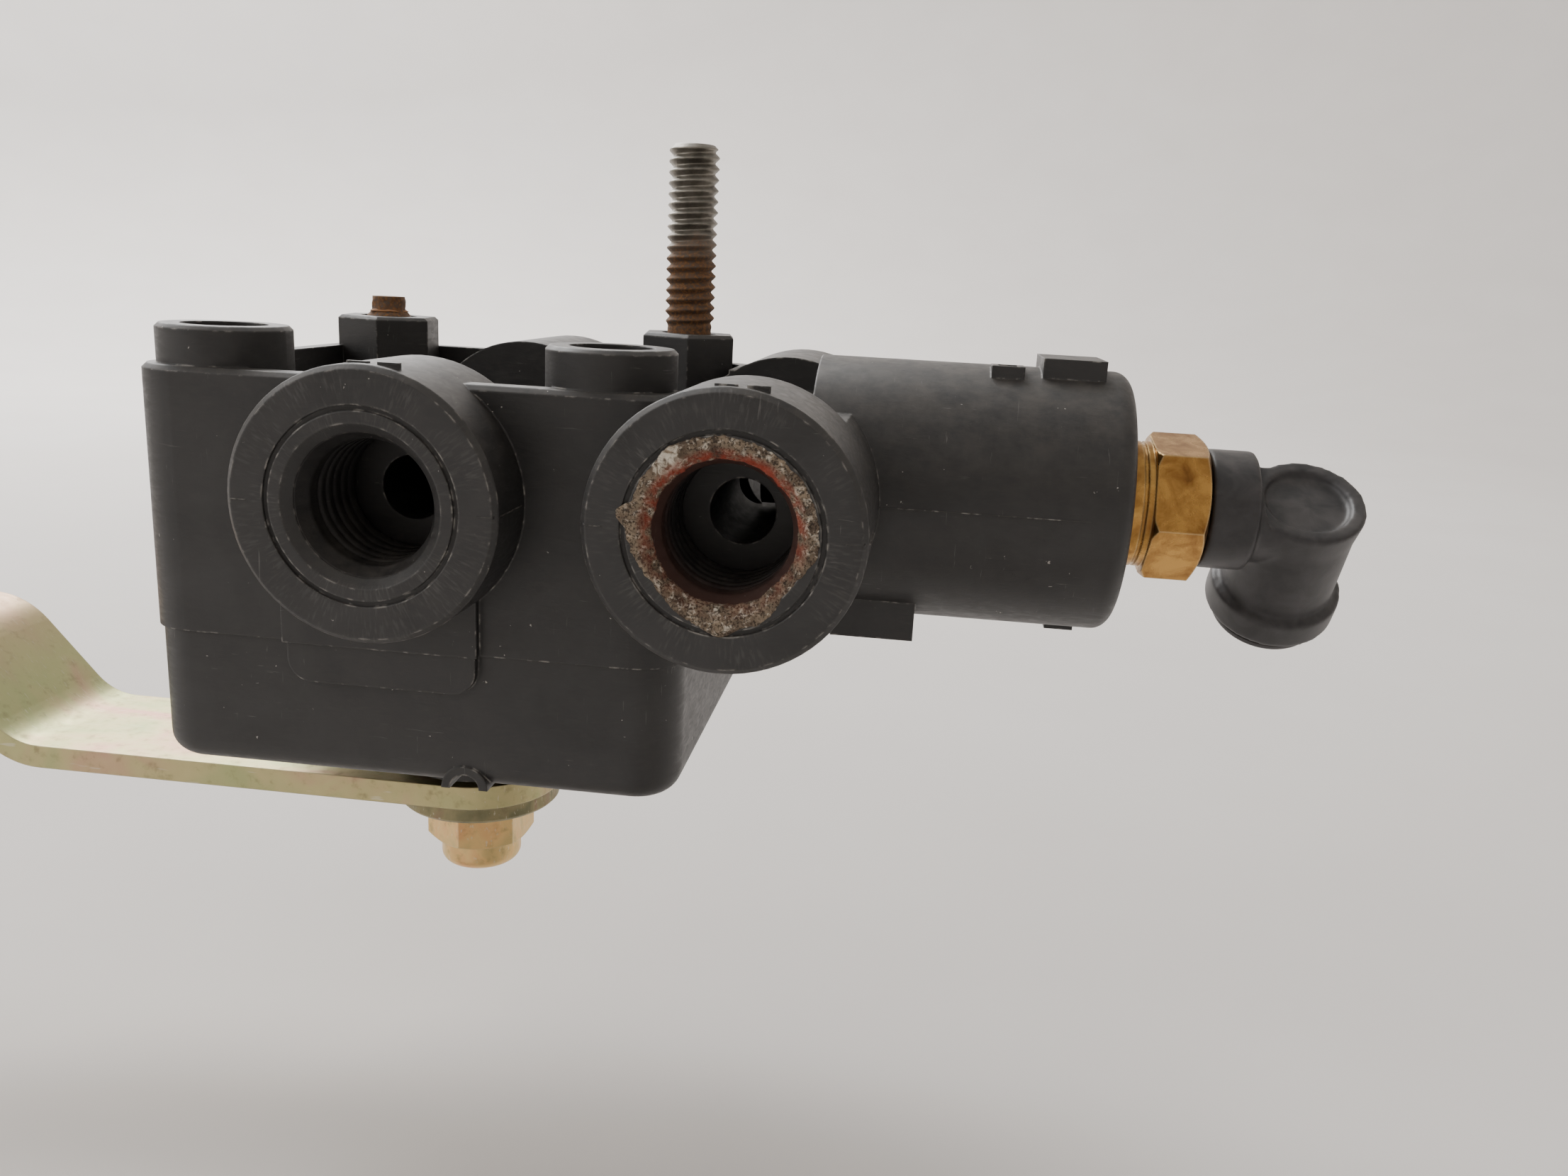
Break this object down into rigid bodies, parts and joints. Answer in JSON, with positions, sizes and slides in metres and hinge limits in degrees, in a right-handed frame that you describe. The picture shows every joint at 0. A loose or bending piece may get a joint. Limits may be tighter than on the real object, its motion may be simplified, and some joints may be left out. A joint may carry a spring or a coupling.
{
  "type": "multiport air levelling valve",
  "caption": "Black nylon air levelling valve with pipe ports on two sides, a bent steel lever below and a pilot cylinder with a brass adapter and push-in elbow.",
  "frame": {"origin": "midway between the two front mounting holes, on the mounting face", "axes": "+X towards the pilot cylinder, +Y from the front ports to the rear ports, +Z out of the mounting face along the studs"},
  "size_m": [0.2135, 0.0673, 0.0877],
  "materials": {
    "nylon_black": "moulded",
    "elbow_nylon": "moulded",
    "zinc_yellow": "yellow zinc plate",
    "stud_zinc": "rusted zinc",
    "shaft_steel": "turned",
    "brass": "turned",
    "rubber": "moulded",
    "white_nylon": "moulded",
    "ceramic": "lapped",
    "piston_nylon": "moulded",
    "spring_steel": "drawn wire",
    "stainless": "pressed",
    "sealant": "dried paste"
  },
  "bodies": {
    "valve_body": {"upper_housing": "nylon_black", "lower_housing": "nylon_black", "pilot_end_cap": "nylon_black", "chamber_seal": "rubber", "cover_screws": "stud_zinc", "mounting_stud_long": "stud_zinc", "mounting_stud_broken": "stud_zinc", "thread_sealant": "sealant", "stator_gasket": "rubber", "stator_disc": "ceramic", "thrust_washer": "white_nylon", "shaft_bush": "white_nylon", "inlet_screen": "stainless", "check_seat": "brass", "check_spring": "spring_steel", "dump_seat": "brass", "dump_spring": "spring_steel", "cap_seal": "rubber", "brass_adapter": "brass", "swivel_clip": "stainless", "swivel_ring": "rubber"},
    "lever_shaft": {"control_shaft": "shaft_steel", "rotor_disc": "ceramic", "rotor_spring": "spring_steel", "shaft_seals": "rubber", "lever": "zinc_yellow", "lever_washer": "zinc_yellow", "lever_nut": "zinc_yellow", "lever_nut_insert": "white_nylon"},
    "check_valve": {"check_poppet": "white_nylon"},
    "dump_valve": {"dump_piston": "piston_nylon", "dump_poppet_seal": "rubber", "dump_piston_seal": "rubber"},
    "elbow": {"elbow_body": "elbow_nylon", "tube_seal": "rubber", "grip_ring": "stainless"},
    "collet": {"release_collet": "elbow_nylon"}
  },
  "joints": [
    {"name": "lever_swing", "type": "hinge", "parent": "valve_body", "child": "lever_shaft", "pos_m": [-0.0008, 0.01905, -0.0516], "axis": [0, 0, 1], "range_deg": [-45, 45]},
    {"name": "check_poppet_slide", "type": "slide", "parent": "valve_body", "child": "check_valve", "axis": [0, -1, 0], "range_m": [0, 0.0015], "stiffness_N_per_m": 150, "springref_m": -0.003, "deforming": ["check_spring"]},
    {"name": "dump_piston_slide", "type": "slide", "parent": "valve_body", "child": "dump_valve", "axis": [-1, 0, 0], "range_m": [0, 0.004], "stiffness_N_per_m": 900, "springref_m": -0.004, "deforming": ["dump_spring"]},
    {"name": "elbow_swivel", "type": "hinge", "parent": "valve_body", "child": "elbow", "pos_m": [0.0912, 0.01905, -0.0146], "axis": [1, 0, 0], "continuous": true},
    {"name": "collet_press", "type": "slide", "parent": "elbow", "child": "collet", "axis": [0, -0.5736, 0.8192], "range_m": [0, 0.0008], "stiffness_N_per_m": 300, "springref_m": -0.0005}
  ]
}
